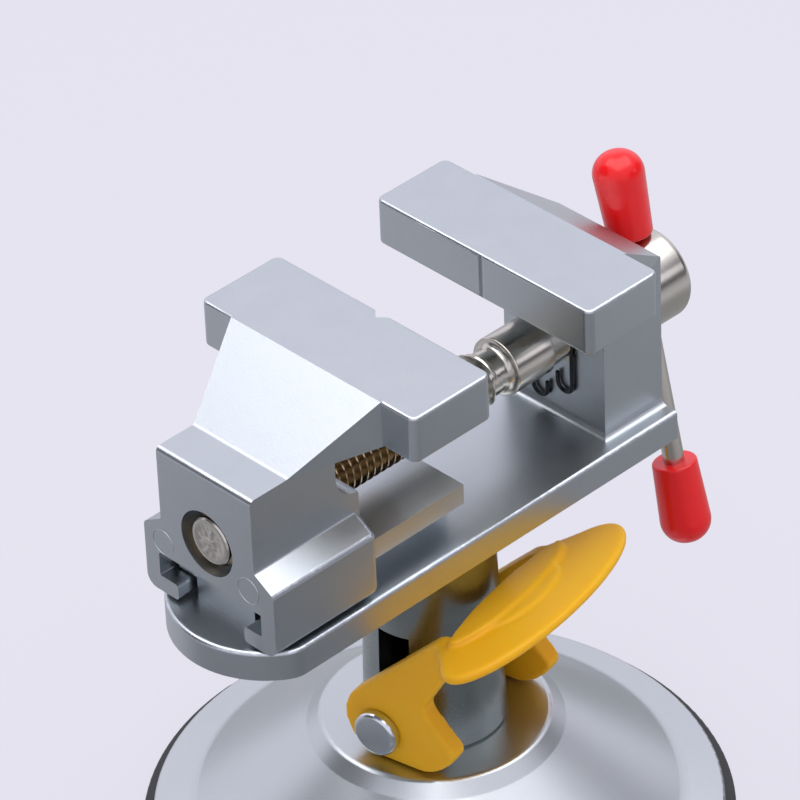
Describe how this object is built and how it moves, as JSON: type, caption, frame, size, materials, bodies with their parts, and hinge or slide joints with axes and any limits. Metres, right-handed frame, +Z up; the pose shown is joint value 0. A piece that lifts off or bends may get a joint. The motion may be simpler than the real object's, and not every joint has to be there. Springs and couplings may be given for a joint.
{
  "type": "suction base vise",
  "caption": "Small bench vise on a round suction base: a sliding jaw on a T rail, closed by a lead screw with a cross bar, and a cam lever that locks the base to a smooth top.",
  "frame": {"origin": "centre of the suction cup's flat under side, on the bench", "axes": "+X runs along the lead screw from the moving jaw to the screw's head, +Y across the jaws, +Z up"},
  "size_m": [0.0887, 0.083, 0.089],
  "materials": {
    "cast_metal": "satin silver casting with worn bright edges",
    "pressed_metal": "satin silver-grey pressed dish",
    "post_metal": "darker satin grey casting",
    "black_rubber": "smooth black rubber",
    "orange_plastic": "satin moulded yellow-orange plastic",
    "red_vinyl": "soft glossy red vinyl",
    "plated_steel": "bright nickel plated turned steel",
    "pin_steel": "bright zinc plated steel",
    "zinc_steel": "zinc plated steel",
    "spring_steel": "plain spring steel",
    "black_steel": "black oxide spring wire"
  },
  "bodies": {
    "base": {"suction_cup": "black_rubber", "base_cap": "pressed_metal", "post_column": "post_metal", "post_nut": "zinc_steel", "nut_washer": "zinc_steel", "bed_screw": "zinc_steel", "bed_lock_washer": "zinc_steel", "bed_and_fixed_jaw": "cast_metal", "return_spring": "spring_steel"},
    "moving_jaw": {"moving_jaw": "cast_metal"},
    "screw": {"lead_screw": "plated_steel", "screw_clip": "black_steel"},
    "cross_bar": {"tommy_bar": "plated_steel", "tommy_cap_upper": "red_vinyl", "tommy_cap_lower": "red_vinyl"},
    "stud": {"pull_stud": "zinc_steel", "stud_plate": "zinc_steel", "lever_pin": "pin_steel", "pin_push_nut": "spring_steel"},
    "lever": {"cam_lever": "orange_plastic"}
  },
  "joints": [
    {"name": "screw_turn", "type": "hinge", "parent": "base", "child": "screw", "pos_m": [0.0363, 0, 0.0695], "axis": [-1, 0, 0], "range_deg": [-2592, 5126]},
    {"name": "jaw_slide", "type": "slide", "parent": "base", "child": "moving_jaw", "axis": [1, 0, 0], "range_m": [-0.00901, 0.01781]},
    {"name": "bar_slide", "type": "slide", "parent": "screw", "child": "cross_bar", "axis": [0, 0.2215, 0.9751], "range_m": [0, 0.0212]},
    {"name": "lever_turn", "type": "hinge", "parent": "stud", "child": "lever", "pos_m": [0, 0, 0.02398], "axis": [0.9816, 0.1908, 0], "range_deg": [0, 60]},
    {"name": "stud_lift", "type": "slide", "parent": "base", "child": "stud", "axis": [0, 0, 1], "range_m": [0, 0.00592], "deforming": ["return_spring"]}
  ],
  "couplings": [
    {"joint": "jaw_slide", "follows": "screw_turn", "m_per_rad": 0.00019894},
    {"joint": "stud_lift", "follows": "lever_turn", "m_per_rad": 0.0056341}
  ]
}
